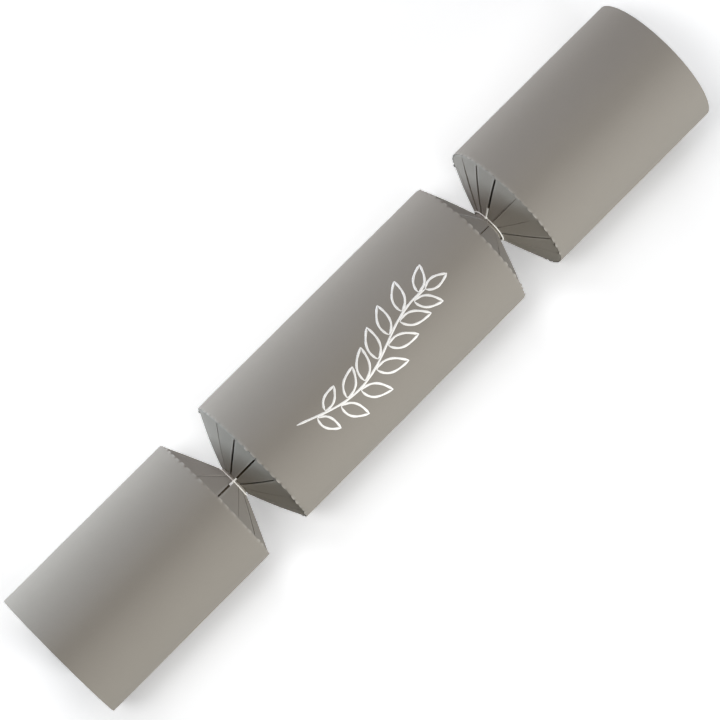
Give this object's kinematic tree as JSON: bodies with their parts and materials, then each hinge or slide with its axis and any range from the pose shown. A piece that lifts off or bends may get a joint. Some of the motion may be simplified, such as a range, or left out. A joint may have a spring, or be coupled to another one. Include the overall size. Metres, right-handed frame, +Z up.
{
  "type": "christmas cracker",
  "caption": "Card cracker: three rolled barrels joined by slit, thread-tied necks, with a snap running through and a crown, motto and gift inside; the ends pull off and the necks bend.",
  "frame": {"origin": "middle of the flat glued lap under the centre barrel, on the surface the cracker lies on", "axes": "+X along the cracker towards its right end, +Y across it, +Z up"},
  "size_m": [0.3, 0.054, 0.0531],
  "materials": {
    "grey_card": "matt, uncoated, dyed through",
    "seam_tape": "matt double-sided tissue tape",
    "white_thread": "fine twisted cotton",
    "snap_board": "uncoated manila strip",
    "snap_powder": "dull pressed powder",
    "snap_grit": "rough bonded grit",
    "snap_paper": "thin kraft wrapper",
    "tissue": "soft folded tissue",
    "band_paper": "plain glued paper band",
    "motto_paper": "plain white paper",
    "die_plastic": "moulded, polished"
  },
  "bodies": {
    "centre": {"centre_barrel": "grey_card", "centre_seam_tape": "seam_tape", "left_inner_petals": "grey_card", "right_inner_petals": "grey_card", "snap_sleeve": "snap_paper", "paper_crown": "tissue", "crown_band": "band_paper", "motto_slip": "motto_paper", "first_gift_die": "die_plastic", "second_gift_die": "die_plastic"},
    "left_snap": {"left_snap_strip": "snap_board", "snap_compound": "snap_powder"},
    "right_snap": {"right_snap_strip": "snap_board", "snap_grit": "snap_grit"},
    "left_end": {"left_end_barrel": "grey_card", "left_end_seam_tape": "seam_tape", "left_outer_petals": "grey_card", "left_tie_thread": "white_thread"},
    "right_end": {"right_end_barrel": "grey_card", "right_end_seam_tape": "seam_tape", "right_outer_petals": "grey_card", "right_tie_thread": "white_thread"}
  },
  "joints": [
    {"name": "left_pull", "type": "slide", "parent": "centre", "child": "left_snap", "axis": [-1, 0, 0], "range_m": [0, 0.1]},
    {"name": "left_neck_flex", "type": "hinge", "parent": "left_snap", "child": "left_end", "pos_m": [-0.06425, 0, 0.02608], "axis": [0, 0, 1], "range_deg": [-5, 5], "stiffness_Nm_per_rad": 0.05},
    {"name": "right_pull", "type": "slide", "parent": "centre", "child": "right_snap", "axis": [1, 0, 0], "range_m": [0, 0.1]},
    {"name": "right_neck_flex", "type": "hinge", "parent": "right_snap", "child": "right_end", "pos_m": [0.06425, 0, 0.02608], "axis": [0, 0, 1], "range_deg": [-5, 5], "stiffness_Nm_per_rad": 0.05}
  ]
}
